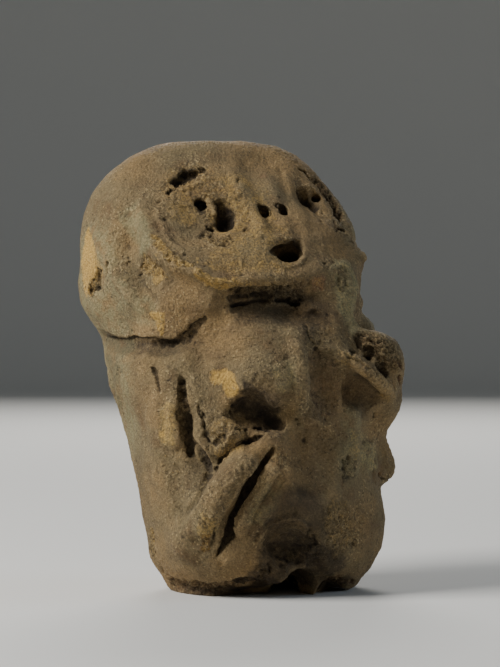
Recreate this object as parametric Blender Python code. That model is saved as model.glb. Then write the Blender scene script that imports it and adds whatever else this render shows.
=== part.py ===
"""A squat terracotta ancestor figure with a large head thrown back, built up from lumps and coils of clay.

The clay is fused into one body, worked with strokes and thumb presses, cut flat below and pierced
for the eyes, nostrils and mouth. Everything is in metres, +Z up, and the figure faces -Y.
"""

import math

import bmesh
import bpy
import numpy as np
from mathutils import Matrix, Vector
from mathutils.bvhtree import BVHTree

# Driving size. The free form is laid out in two-hundredths of the figure's height.
FIGURE_HEIGHT = 0.200
UNIT = FIGURE_HEIGHT / 200

# Pierced holes and the recess under the figure
EYE_HOLE_WIDTH = 0.0052
EYE_HOLE_DEPTH = 0.012
NOSTRIL_WIDTH = 0.0042
NOSTRIL_HEIGHT = 0.0054
NOSTRIL_DEPTH = 0.010
MOUTH_WIDTH = 0.0130
MOUTH_HEIGHT = 0.0105
MOUTH_DEPTH = 0.020
RECESS_WIDTH = 0.017
RECESS_DEPTH = 0.034
RECESS_HEIGHT = 0.0125

# Places of the holes seen from the right front, in units: how far right of the axis and how high
EYES = [(-25, 169), (25.5, 174.5)]
NOSTRILS = [(2, 167.5), (11, 168)]
MOUTH = (12.5, 150)

# Sides from which the clay is worked, in degrees from the front towards the figure's left
RIGHT_FRONT = -25
RIGHT_SIDE = -100
BROKEN_SIDE = 65
LEFT_SIDE = 80
BACK = 180

# How finely the clay is worked and how many triangles stay in the solid
CLAY_GRAIN = FIGURE_HEIGHT / 125
SOLID_TRIANGLES = 8800
CORE_SIDES = 64

TERRACOTTA_COLOUR = (0.26, 0.19, 0.12, 1.0)
TERRACOTTA_ROUGHNESS = 0.85


def clear_scene():
    """Removes whatever the scene holds, such as the startup cube."""
    for thing in list(bpy.data.objects):
        bpy.data.objects.remove(thing)


def spot(angle, out, height):
    """A place in metres: angle in degrees from the front towards the figure's left, the rest in units."""
    turn = math.radians(angle)
    return Vector((math.sin(turn) * out, -math.cos(turn) * out, height)) * UNIT


def add_lump(clay, place, across, through, up, lean=0.0, turn=0.0, boxy=2.0):
    """Adds a rounded lump. Its radii run across, through and up, for someone who faces it.

    A lean turns its outer face upwards, a turn rolls it clockwise, and boxy above 2 squares it off.
    """
    angle, out, height = place
    ball = bmesh.ops.create_icosphere(clay, subdivisions=4, radius=1.0)["verts"]
    for vertex in ball:
        vertex.co /= sum(abs(c) ** boxy for c in vertex.co) ** (1 / boxy)
    pose = (
        Matrix.Translation(spot(angle, out, height))
        @ Matrix.Rotation(math.radians(angle), 4, "Z")
        @ Matrix.Rotation(math.radians(-lean), 4, "X")
        @ Matrix.Rotation(math.radians(turn), 4, "Y")
        @ Matrix.Diagonal((across * UNIT, through * UNIT, up * UNIT, 1.0))
    )
    bmesh.ops.transform(clay, matrix=pose, verts=ball)


def smooth_path(points, steps=8):
    """A Catmull-Rom curve through rows of numbers, as rows."""
    rows = np.array(points, float)
    rows = np.vstack([2 * rows[0] - rows[1], rows, 2 * rows[-1] - rows[-2]])
    made = []
    for before, start, end, after in zip(rows, rows[1:], rows[2:], rows[3:]):
        for t in np.arange(steps) / steps:
            made.append(
                start
                + 0.5 * t * (end - before)
                + t * t * (before - 2.5 * start + 2 * end - 0.5 * after)
                + 0.5 * t**3 * (3 * (start - end) + after - before)
            )
    return np.array(made + [rows[-2]])


def add_coil(clay, points):
    """Adds a rolled coil as a close row of balls. Each point is (angle, out, height, radius)."""
    rows = [(*spot(a, out, up), radius * UNIT) for a, out, up, radius in points]
    for x, y, z, radius in smooth_path(rows):
        place = Matrix.Translation((x, y, z))
        bmesh.ops.create_icosphere(clay, subdivisions=2, radius=radius, matrix=place)


def shaped(mesh, name, **modifiers):
    """The mesh after modifiers, each given as its type and a dictionary of settings."""
    holder = bpy.data.objects.new(name, mesh)
    bpy.context.scene.collection.objects.link(holder)
    for kind, settings in modifiers.items():
        modifier = holder.modifiers.new(kind, kind)
        for key, value in settings.items():
            setattr(modifier, key, value)
    graph = bpy.context.evaluated_depsgraph_get()
    made = bpy.data.meshes.new_from_object(holder.evaluated_get(graph))
    bpy.data.objects.remove(holder)
    return made


def fused(mesh, grain, passes):
    """One closed skin round all the lumps, with its seams smoothed over."""
    return shaped(
        mesh,
        "fused",
        REMESH={"mode": "VOXEL", "voxel_size": grain, "adaptivity": 0.0},
        SMOOTH={"factor": 0.5, "iterations": passes},
    )


class Clay:
    """The fused clay as arrays of points and outward directions, which the tools move."""

    def __init__(self, mesh):
        self.mesh = mesh
        self.read()

    def read(self):
        count = len(self.mesh.vertices)
        points = np.empty(count * 3, np.float32)
        ways = np.empty(count * 3, np.float32)
        self.mesh.vertices.foreach_get("co", points)
        self.mesh.vertex_normals.foreach_get("vector", ways)
        self.points = points.reshape(-1, 3).astype(float)
        self.ways = ways.reshape(-1, 3).astype(float)
        faces = [tuple(face.vertices) for face in self.mesh.polygons]
        self.tree = BVHTree.FromPolygons([Vector(p) for p in self.points], faces)

    def write(self):
        self.mesh.vertices.foreach_set("co", self.points.astype(np.float32).ravel())
        self.mesh.update()
        self.read()

    def touch(self, side, across, height):
        """The point of the surface seen from that side, so far to the right of the axis and so high."""
        turn = math.radians(side)
        right = Vector((math.cos(turn), math.sin(turn), 0))
        out = Vector((math.sin(turn), -math.cos(turn), 0))
        start = (right * float(across) + Vector((0, 0, height))) * UNIT + out * FIGURE_HEIGHT
        hit = self.tree.ray_cast(start, -out)[0]
        if hit is None:
            hit = self.tree.find_nearest(start - out * FIGURE_HEIGHT)[0]
        return np.array(hit)

    def stroke(self, side, path, width, depth, flat=1.0, fade=0.25):
        """Drags a tool along (across, height) points seen from a side. A negative depth raises a ridge.

        Above 1, flat widens the bottom of the stroke, and fade is the share of each end that dies out.
        """
        line = np.array([self.touch(side, across, height) for across, height in path])
        if len(path) == 1:
            share = np.zeros(len(self.points))
            near = np.linalg.norm(self.points - line[0], axis=1)
        else:
            near, share = distance_to_line(self.points, smooth_path(line))
        s = np.clip(near / (width / 2 * UNIT), 0, 1)
        bite = np.clip(flat * (1 - s * s) ** 2, 0, 1)
        if fade and len(path) > 1:
            ends = np.clip(np.minimum(share, 1 - share) / fade, 0, 1)
            bite *= ends * (2 - ends)
        self.points -= self.ways * (bite * depth * UNIT)[:, None]

    def press(self, side, across, height, width, depth, flat=1.0):
        """Presses one round dent, or raises a boss where depth is negative."""
        self.stroke(side, [(across, height)], width, depth, flat, fade=0)

    def pat(self, angle, out, height, lean, bow, soft=6.0):
        """Pats the clay down to a paddle whose face looks out at that angle and leans upwards.

        The paddle is bowed across by the radius bow, and soft is how gently its edge lets go.
        """
        middle = np.array(spot(angle, out, height))
        slope = math.radians(lean)
        across = np.array(spot(angle + 90, 1, 0).normalized())
        facing = np.array(spot(angle, math.cos(slope), math.sin(slope)).normalized())
        from_middle = self.points - middle
        beyond = from_middle @ facing + (from_middle @ across) ** 2 / (2 * bow * UNIT)
        edge = soft * UNIT
        push = np.clip(beyond + edge, 0, 2 * edge) ** 2 / (4 * edge) + np.clip(beyond - edge, 0, None)
        self.points -= push[:, None] * facing


def distance_to_line(points, line):
    """For each point, its distance to the line and how far along the line that is, from 0 to 1."""
    best = np.full(len(points), np.inf)
    share = np.zeros(len(points))
    for i, (a, b) in enumerate(zip(line, line[1:])):
        along = b - a
        t = np.clip((points - a) @ along / max(along @ along, 1e-18), 0, 1)
        gap = np.linalg.norm(points - a - t[:, None] * along, axis=1)
        nearer = gap < best
        best[nearer] = gap[nearer]
        share[nearer] = (i + t[nearer]) / (len(line) - 1)
    return best, share


def add_core(clay, rings, boxy):
    """Adds a squeezed column. Each ring is (height, sideways, backwards, half width, half depth)."""
    loops = []
    for height, side, back, width, depth in smooth_path(rings, 4):
        loop = []
        for step in range(CORE_SIDES):
            turn = 2 * math.pi * step / CORE_SIDES
            way = Vector((math.cos(turn), math.sin(turn)))
            way /= sum(abs(c) ** boxy for c in way) ** (1 / boxy)
            x, y = side + width * way.x, back + depth * way.y
            loop.append(clay.verts.new(Vector((x, y, height)) * UNIT))
        loops.append(loop)
    for low, high in zip(loops, loops[1:]):
        for step in range(CORE_SIDES):
            after = (step + 1) % CORE_SIDES
            clay.faces.new((low[step], low[after], high[after], high[step]))
    clay.faces.new(reversed(loops[0]))
    clay.faces.new(loops[-1])


def big_lumps():
    """The body and the head as they were first squeezed and patted into shape."""
    clay = bmesh.new()
    # Body: narrow at the foot, widest at the shoulders, where it leans back
    add_core(
        clay,
        [
            (-6, 0, -2, 39, 33),
            (3, 0, -3, 42, 36),
            (12, 0, -5, 49, 43),
            (26, 0, -7, 53, 47),
            (46, -1, -3, 54, 48),
            (72, -1, 3, 58, 51),
            (92, -1, 9, 63, 54),
            (108, -3, 16, 60, 50),
            (122, -4, 20, 52, 44),
            (140, -6, 22, 44, 40),
        ],
        boxy=2.3,
    )
    # Head: a wide dome behind the neck, with a heavy jowl low on its right and behind
    add_lump(clay, (201, 24.5, 147), 59, 58, 53.4, boxy=2.6)
    add_lump(clay, (-150, 32, 133), 54, 52, 28, lean=6, boxy=2.4)
    # Face: a thick slab in front, tipped up to the sky
    add_lump(clay, (0, -1, 146), 47, 27, 48, lean=42, boxy=2.8)
    made = bpy.data.meshes.new("big_lumps")
    clay.to_mesh(made)
    clay.free()
    return made


def pat_flat(clay):
    """Pats the face to a slope that looks up to the sky, steeper at the chin, its left side cut away."""
    clay.pat(0, 24, 159, lean=43, bow=110)
    clay.pat(0, 41, 132, lean=15, bow=110)
    clay.pat(BROKEN_SIDE, 33, 177, lean=39, bow=1000, soft=4)
    clay.write()


def small_lumps(body):
    """The body with the smaller lumps and coils pressed on: breasts, arms and feet."""
    clay = bmesh.new()
    clay.from_mesh(body)
    # Chest under the chin, and the middle of the body between the breasts
    add_lump(clay, (2, 20, 110), 38, 22, 24)
    add_lump(clay, (17, 34, 92), 28, 18, 36, boxy=2.3)
    # Neck under the left cheek, where the jaw runs into the shoulder without an edge
    add_lump(clay, (40, 24, 129), 20, 18, 22)
    # Right breast, whole and hanging, and left breast, broken off
    add_lump(clay, (-24, 29, 106), 21, 20, 25, lean=-12)
    add_lump(clay, (-23, 35, 93), 21.5, 21, 20.5)
    add_lump(clay, (48, 49, 100), 21.5, 18, 15, turn=25)
    add_lump(clay, (58, 47, 88), 17, 17, 22)
    # Right arm: upper arm down the side, forearm up across the belly
    add_coil(clay, [(-84, 49, 108, 13), (-80, 48, 80, 14), (-72, 46, 50, 13), (-62, 46, 27, 12)])
    add_coil(clay, [(-60, 49, 26, 12), (-46, 49, 40, 12), (-32, 49, 54, 10), (-18, 47, 67, 9)])
    # Left arm, with the forearm lost
    add_coil(clay, [(80, 44, 110, 13), (88, 47, 84, 14), (88, 45, 52, 13), (80, 40, 28, 12)])
    # Hooked stump of the left hand
    add_coil(clay, [(60, 52, 68, 3), (61, 55, 60, 5), (62, 57, 54, 5), (61, 56, 50, 4)])
    # Heel knobs
    add_lump(clay, (-98, 43, 18), 8, 8, 9)
    add_lump(clay, (112, 42, 15), 8, 8, 7)
    made = bpy.data.meshes.new("small_lumps")
    clay.to_mesh(made)
    clay.free()
    return made


def work_face(clay):
    """Eye sockets, brow, nose, the ridge round the face and the broken edge of its left side."""
    front = RIGHT_FRONT
    # Wide sockets thumbed out on both sides of the nose
    clay.press(front, -24, 166, 40, 5.0, flat=1.4)
    clay.press(front, 22, 172, 26, 2.5)
    # Nose: a low broad ridge from the brow to above the mouth
    clay.stroke(front, [(-1, 187), (3, 177), (7, 168), (10, 158)], 20, -3.0)
    # Rim that runs from the temple under the cheek to the chin, and the hollow that sets it off
    rim = [(-47, 179), (-51, 168), (-50, 158), (-44, 149), (-35, 143), (-25, 139), (-13, 137), (0, 137)]
    rim += [(13, 138), (24, 140), (33, 143)]
    clay.stroke(front, rim, 10, -2.6, fade=0.12)
    clay.stroke(front, [(-57, 171), (-57, 158), (-51, 146), (-42, 138), (-31, 133), (-20, 129)], 11, 3.4)
    clay.write()
    # Undercut below the chin
    clay.stroke(front, [(-22, 126), (-8, 126), (6, 126), (20, 127)], 16, 3.5)
    clay.stroke(front, [(-18, 130), (-7, 131), (6, 131), (17, 131), (28, 130)], 9, 6.0, fade=0.2)
    # Gouged brow, thumb dent beside the right eye, dent round the left eye and the slit under it
    clay.stroke(front, [(-40, 177), (-34, 182), (-25, 185)], 8, 2.6)
    clay.stroke(front, [(-16, 168), (-15, 161)], 11, 4.4, flat=1.2, fade=0)
    clay.press(front, 21, 173, 11, 3.6, flat=1.3)
    clay.stroke(front, [(26, 169), (29, 162)], 4, 2.0)
    # Broken left edge of the face, down to the cheek
    clay.stroke(front, [(18, 187), (24, 183), (31, 175), (36, 166), (41, 157)], 7, 2.2)
    clay.press(front, 46, 149, 11, -2.0)
    clay.stroke(BROKEN_SIDE, [(-2, 144), (-3, 137), (-3, 128)], 30, 5.6)
    clay.write()


def work_head(clay):
    """The hollow and the chip on the side of the head, and the crease where it meets the shoulders."""
    front = RIGHT_FRONT
    clay.press(front, -50, 140, 24, 2.8)
    clay.stroke(front, [(-60, 160), (-55, 146), (-49, 134), (-42, 127)], 12, 2.2)
    clay.press(RIGHT_SIDE, -8, 139, 18, 2.4, flat=1.4)
    clay.write()
    clay.stroke(front, [(-69, 111), (-59, 110), (-47, 110), (-38, 110), (-31, 114), (-20, 122)], 5, 4.0)
    clay.stroke(RIGHT_SIDE, [(45, 104), (25, 107), (5, 109)], 5, 2.5)
    clay.stroke(BACK, [(-46, 108), (-20, 103), (15, 102), (45, 106)], 8, 2.5)
    clay.stroke(LEFT_SIDE, [(-38, 122), (-15, 115), (12, 110), (40, 107)], 8, 2.5)
    clay.write()


def work_arms(clay):
    """Grooves that set off the right upper arm and the forearm across the belly."""
    front = RIGHT_FRONT
    clay.stroke(front, [(-42, 92), (-43, 80), (-40, 62)], 10, -2.4)
    clay.stroke(front, [(-30, 26), (-22, 38), (-13, 51), (-3, 63)], 17, -3.4, fade=0.15)
    clay.stroke(front, [(-37, 58), (-34, 46), (-38, 32)], 10, 1.6)
    clay.write()
    clay.stroke(front, [(-34, 99), (-32, 87), (-31, 75), (-30, 63), (-20, 52)], 7.5, 6.5, fade=0.15)
    clay.stroke(front, [(-27, 90), (-24, 79), (-21, 69), (-19, 60)], 5.5, 3.2)
    clay.stroke(front, [(-21, 54), (-17, 61), (-9, 68), (3, 72)], 7, 4.6)
    clay.stroke(front, [(7, 66), (1, 56), (-6, 43), (-12, 32), (-18, 17)], 8, 5.6, fade=0.18)
    clay.stroke(front, [(-19, 32), (-22, 23)], 4.5, 2.5)
    clay.stroke(front, [(-45, 98), (-44, 91), (-42, 84)], 3.5, 1.6)
    clay.write()


def work_torso(clay):
    """The undercut of the whole breast, the broken one with its ridge, and the belly."""
    front = RIGHT_FRONT
    clay.stroke(front, [(-23, 114), (-26, 102), (-23, 90), (-15, 79)], 11, 2.0)
    clay.stroke(front, [(20, 118), (23, 108), (26, 97), (25, 86), (18, 77)], 13, 2.6)
    clay.press(front, 25, 44, 50, -3.2)
    clay.stroke(front, [(4, 26), (13, 22), (22, 26)], 16, 2.0)
    clay.write()
    clay.stroke(front, [(-17, 82), (-8, 77), (0, 76), (8, 77), (15, 84)], 10, 6.0)
    # Broken left breast: torn clay above a ridge, with a hollow below it
    clay.stroke(front, [(33, 110), (40, 104), (47, 98), (54, 92), (60, 85)], 8, -3.4)
    clay.write()
    clay.stroke(front, [(38, 112), (44, 108), (50, 103), (57, 97), (62, 91)], 9, 4.4, flat=1.3)
    clay.press(front, 41, 87, 20, 5.5)
    clay.stroke(front, [(58, 50), (54, 47), (51, 48)], 4, 2.4)
    clay.stroke(BROKEN_SIDE, [(-14, 44), (-6, 43), (2, 44)], 9, 3.6)
    clay.write()


def work_back(clay):
    """The plainer back: arms marked off, a furrow down the spine, two haunches, and finger dents."""
    clay.stroke(BACK, [(2, 98), (-1, 76), (1, 56), (-1, 34)], 22, 3.0)
    clay.press(BACK, -24, 27, 40, -3.4)
    clay.press(BACK, 23, 25, 40, -3.4)
    clay.stroke(LEFT_SIDE, [(24, 100), (20, 82), (22, 62), (15, 36)], 17, 2.8)
    clay.stroke(RIGHT_SIDE, [(-28, 102), (-23, 82), (-24, 62), (-16, 38)], 17, 2.8)
    clay.write()
    chance = np.random.default_rng(7)
    for _ in range(34):
        side = chance.choice([LEFT_SIDE, BACK])
        clay.press(side, chance.uniform(-48, 48), chance.uniform(22, 190), chance.uniform(18, 34), 1.5)
    clay.write()


def bore(mesh, clay, place, width, tall, depth, lean):
    """The mesh with a blunt tapered hole in it, as a stick leaves one, which looks upwards by the lean."""
    bit = bmesh.new()
    bmesh.ops.create_cone(bit, cap_ends=True, segments=14, radius1=0.34, radius2=0.66, depth=2)
    pose = (
        Matrix.Translation(clay.touch(RIGHT_FRONT, *place))
        @ Matrix.Rotation(math.radians(RIGHT_FRONT), 4, "Z")
        @ Matrix.Rotation(math.radians(90 - lean), 4, "X")
        @ Matrix.Diagonal((width, tall, depth, 1.0))
    )
    bmesh.ops.transform(bit, matrix=pose, verts=bit.verts)
    return cut(mesh, bit)


def cut(mesh, bit):
    """The mesh without what the bit fills."""
    made = bpy.data.meshes.new("bit")
    bit.to_mesh(made)
    bit.free()
    cutter = bpy.data.objects.new("bit", made)
    bpy.context.scene.collection.objects.link(cutter)
    left = shaped(mesh, "cut", BOOLEAN={"operation": "DIFFERENCE", "solver": "EXACT", "object": cutter})
    bpy.data.objects.remove(cutter)
    return left


def pierced(mesh, clay):
    """The mesh with its eyes and nostrils pierced by sticks and its mouth by a fingertip."""
    for place in EYES:
        mesh = bore(mesh, clay, place, EYE_HOLE_WIDTH, EYE_HOLE_WIDTH, EYE_HOLE_DEPTH, 24)
    for place in NOSTRILS:
        mesh = bore(mesh, clay, place, NOSTRIL_WIDTH, NOSTRIL_HEIGHT, NOSTRIL_DEPTH, 30)
    return bore(mesh, clay, MOUTH, MOUTH_WIDTH, MOUTH_HEIGHT, MOUTH_DEPTH, 20)


def footed(mesh):
    """The mesh cut flat below, hollowed between the front feet and open there as a small arch."""
    ground = bmesh.new()
    bmesh.ops.create_cube(ground, size=FIGURE_HEIGHT)
    bmesh.ops.translate(ground, verts=ground.verts, vec=(0, 0, -FIGURE_HEIGHT / 2))
    mesh = cut(mesh, ground)
    scoop = bmesh.new()
    add_lump(scoop, (-20, 52, -3), 33, 27, 10)
    mesh = cut(mesh, scoop)
    recess = bmesh.new()
    size = (RECESS_WIDTH / 2 / UNIT, RECESS_DEPTH / UNIT, RECESS_HEIGHT / UNIT)
    add_lump(recess, (0, 50, 0), *size, boxy=2.6)
    return cut(mesh, recess)


def centred(figure):
    """Stands the middle of the figure's box over the origin and its sole on the ground."""
    corners = np.array([v.co for v in figure.data.vertices])
    low, high = corners.min(axis=0), corners.max(axis=0)
    figure.location = (-(low[0] + high[0]) / 2, -(low[1] + high[1]) / 2, -low[2])


def material():
    """Low-fired earthenware, dull and brown."""
    made = bpy.data.materials.new("terracotta")
    made.use_nodes = True
    shader = made.node_tree.nodes["Principled BSDF"]
    shader.inputs["Base Color"].default_value = TERRACOTTA_COLOUR
    shader.inputs["Roughness"].default_value = TERRACOTTA_ROUGHNESS
    shader.inputs["Metallic"].default_value = 0.0
    return made


def main():
    clear_scene()
    body = Clay(fused(big_lumps(), 1.5 * CLAY_GRAIN, 14))
    pat_flat(body)
    clay = Clay(fused(small_lumps(body.mesh), CLAY_GRAIN, 20))
    for step in (work_face, work_head, work_arms, work_torso, work_back):
        step(clay)
    clay = Clay(fused(clay.mesh, CLAY_GRAIN, 1))
    ratio = SOLID_TRIANGLES / (2 * len(clay.mesh.polygons))
    mesh = shaped(clay.mesh, "coarse", TRIANGULATE={}, DECIMATE={"ratio": ratio})
    mesh = footed(pierced(mesh, clay))
    mesh = shaped(mesh, "facets", TRIANGULATE={})
    mesh.name = "figure"
    mesh.materials.clear()
    mesh.materials.append(material())
    figure = bpy.data.objects.new("figure", mesh)
    bpy.context.scene.collection.objects.link(figure)
    centred(figure)


main()
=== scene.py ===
import itertools
import math

import bmesh
import bpy
import numpy as np
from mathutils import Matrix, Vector
from mathutils.bvhtree import BVHTree


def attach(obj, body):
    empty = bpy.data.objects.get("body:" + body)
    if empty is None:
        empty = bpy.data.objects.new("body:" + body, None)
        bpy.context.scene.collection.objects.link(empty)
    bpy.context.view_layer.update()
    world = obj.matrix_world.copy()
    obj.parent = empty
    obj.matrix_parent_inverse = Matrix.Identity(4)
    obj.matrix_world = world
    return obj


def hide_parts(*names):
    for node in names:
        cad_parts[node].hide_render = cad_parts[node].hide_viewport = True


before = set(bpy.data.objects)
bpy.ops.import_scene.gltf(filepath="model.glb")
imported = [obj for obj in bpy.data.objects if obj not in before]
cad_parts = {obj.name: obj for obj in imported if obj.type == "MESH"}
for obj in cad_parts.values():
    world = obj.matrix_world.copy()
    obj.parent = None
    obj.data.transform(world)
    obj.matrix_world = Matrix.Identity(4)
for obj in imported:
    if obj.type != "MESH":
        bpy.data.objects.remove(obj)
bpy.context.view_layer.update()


# The camera
# It stands where the photograph was taken from: off the figure's right front, a little above half its
# height, and far away with a long lens. The figure stands in the frame where the photograph has it.

MM = 0.001
CLAY_AXIS = Vector((5.2 * MM, -14.1 * MM, 0))
PHOTO_SIDE = -25
CAMERA_DISTANCE = 1.25
CAMERA_HEIGHT = 0.131
FRAME_WIDTH_PIXELS = 500
FRAME_HEIGHT_PIXELS = 667
PIXEL = 0.445 * MM
AXIS_PIXEL = 259
GROUND_PIXEL = 588
SENSOR_WIDTH = 36


def side_ways(side):
    """The level directions to the right and outwards of someone who faces the figure from that side.

    The side is in degrees from the front towards the figure's left.
    """
    turn = math.radians(side)
    return Vector((math.cos(turn), math.sin(turn), 0)), Vector((math.sin(turn), -math.cos(turn), 0))


def aimed(thing, place, target):
    """Puts a camera or a light at a place and turns it to a target."""
    thing.location = place
    thing.rotation_mode = "QUATERNION"
    thing.rotation_quaternion = (target - place).to_track_quat("-Z", "Y")
    bpy.context.scene.collection.objects.link(thing)


lens = bpy.data.cameras.new("camera")
lens.sensor_width = SENSOR_WIDTH
lens.lens = SENSOR_WIDTH * CAMERA_DISTANCE / (FRAME_HEIGHT_PIXELS * PIXEL)
camera = bpy.data.objects.new("camera", lens)
photo_right, photo_out = side_ways(PHOTO_SIDE)
frame_middle = CLAY_AXIS + photo_right * (FRAME_WIDTH_PIXELS / 2 - AXIS_PIXEL) * PIXEL
aimed(
    camera,
    frame_middle + photo_out * CAMERA_DISTANCE + Vector((0, 0, CAMERA_HEIGHT)),
    frame_middle + Vector((0, 0, (GROUND_PIXEL - FRAME_HEIGHT_PIXELS / 2) * PIXEL)),
)
bpy.context.scene.camera = camera


# The figure's clay
# One lump of coarse river clay, built up from slabs and coils, wiped with wet fingers and fired in an open
# fire. The solid's facets are smoothed away, and its skin is laid out finely enough for the tool marks.

SKIN_GRAIN = 0.62 * MM
FACET_PASSES = 50
HOLE_KEEP = 3.5 * MM
HOLE_HOLD = 0.15
SOLE_KEEP = 2 * MM
RIGHT_SIDE = -100
LEFT_SIDE = 80
BACK = 180
EYES = [(203, 208), (316, 200)]
NOSTRILS = [(264, 211), (283, 209)]
MOUTH = (288, 251)
# The soot finish is soot in places and painted shade in others, and the ochre and the film also paint light
# onto a few places that lie in shade.
FINISHES = ("torn", "ochre", "soot", "film", "red", "wiped", "wipe")
LATTICE_SIDE = 32
SPARE_CELLS = 3
CHANCE = np.random.default_rng(11)
LATTICE = CHANCE.uniform(-1, 1, (LATTICE_SIDE,) * 3)
# How far a ragged stroke strays and over how many millimetres that changes, for three sizes of wander
WANDERS = [(1.0 * MM, 4.0), (0.8 * MM, 2.0), (0.5 * MM, 1.1)]
WANDER_SHIFTS = (0, 70, 140)


def joined(mesh):
    """A copy of a mesh with its loose triangles joined at their corners."""
    work = bmesh.new()
    work.from_mesh(mesh)
    bmesh.ops.remove_doubles(work, verts=work.verts, dist=0.001 * MM)
    made = bpy.data.meshes.new("clay")
    work.to_mesh(made)
    work.free()
    return made


def shaped(mesh, *steps):
    """The mesh after modifiers, each given as its type and a dictionary of settings."""
    holder = bpy.data.objects.new("holder", mesh)
    bpy.context.scene.collection.objects.link(holder)
    for kind, settings in steps:
        modifier = holder.modifiers.new(kind, kind)
        for key, value in settings.items():
            setattr(modifier, key, value)
    graph = bpy.context.evaluated_depsgraph_get()
    made = bpy.data.meshes.new_from_object(
        holder.evaluated_get(graph), preserve_all_data_layers=True, depsgraph=graph
    )
    bpy.data.objects.remove(holder)
    return made


def read(source, key, width):
    """A list of a mesh's values as an array."""
    values = np.empty(len(source) * width, np.float32)
    source.foreach_get(key, values)
    return values.reshape(-1, width).astype(float)


def smooth_path(points, steps=6):
    """A Catmull-Rom curve through rows of numbers, as rows."""
    rows = np.array(points, float)
    rows = np.vstack([2 * rows[0] - rows[1], rows, 2 * rows[-1] - rows[-2]])
    made = []
    for before, start, end, after in zip(rows, rows[1:], rows[2:], rows[3:]):
        for t in np.arange(steps) / steps:
            made.append(
                start
                + 0.5 * t * (end - before)
                + t * t * (before - 2.5 * start + 2 * end - 0.5 * after)
                + 0.5 * t**3 * (3 * (start - end) + after - before)
            )
    return np.array(made + [rows[-2]])


def distance_to_line(points, line, out):
    """For each point, its distance to the line, how far along it that is, and on which hand.

    How far along goes from 0 to 1. The hand is 1 on the line's right and -1 on its left, for someone that
    the direction out points to.
    """
    best = np.full(len(points), np.inf)
    share = np.zeros(len(points))
    hand = np.zeros(len(points))
    for i, (a, b) in enumerate(zip(line, line[1:])):
        along = b - a
        t = np.clip((points - a) @ along / max(along @ along, 1e-18), 0, 1)
        apart = points - a - t[:, None] * along
        gap = np.linalg.norm(apart, axis=1)
        nearer = gap < best
        best[nearer] = gap[nearer]
        share[nearer] = (i + t[nearer]) / (len(line) - 1)
        across = np.cross(along, out)
        hand[nearer] = (apart[nearer] @ across) / np.maximum(gap[nearer] * np.linalg.norm(across), 1e-12)
    return best, share, hand


def sampled(grid, places):
    """Values of a grid at places given in its cells, blended between the nearest ones."""
    corner = np.floor(places).astype(int)
    part = places - corner
    total = np.zeros(len(places))
    for step in itertools.product((0, 1), repeat=3):
        weight = np.prod(np.where(step, part, 1 - part), axis=1)
        i, j, k = ((corner + step) % grid.shape).T
        total += weight * grid[i, j, k]
    return total


def patchy(points, size):
    """Smooth random values from -1 to 1 that change over about that size."""
    corner = np.floor(points / size)
    part = points / size - corner
    return sampled(LATTICE, corner + part * part * (3 - 2 * part))


def sunken(points, ways, reach):
    """How far each point lies below the middle of the skin that is within about that reach of it."""
    places = 2 * (points - points.min(axis=0)) / reach + SPARE_CELLS
    shape = tuple(places.max(axis=0).astype(int) + SPARE_CELLS + 1)
    index = np.ravel_multi_index(tuple(places.astype(int).T), shape)
    sums = []
    for weights in (np.ones(len(points)), *points.T):
        grid = np.bincount(index, weights, math.prod(shape)).reshape(shape)
        for axis in (0, 1, 2, 0, 1, 2):
            grid = grid + np.roll(grid, 1, axis) + np.roll(grid, -1, axis)
        sums.append(sampled(grid, places - 0.5))
    middle = np.stack(sums[1:], axis=1) / sums[0][:, None]
    return np.einsum("ij,ij->i", middle - points, ways)


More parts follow.
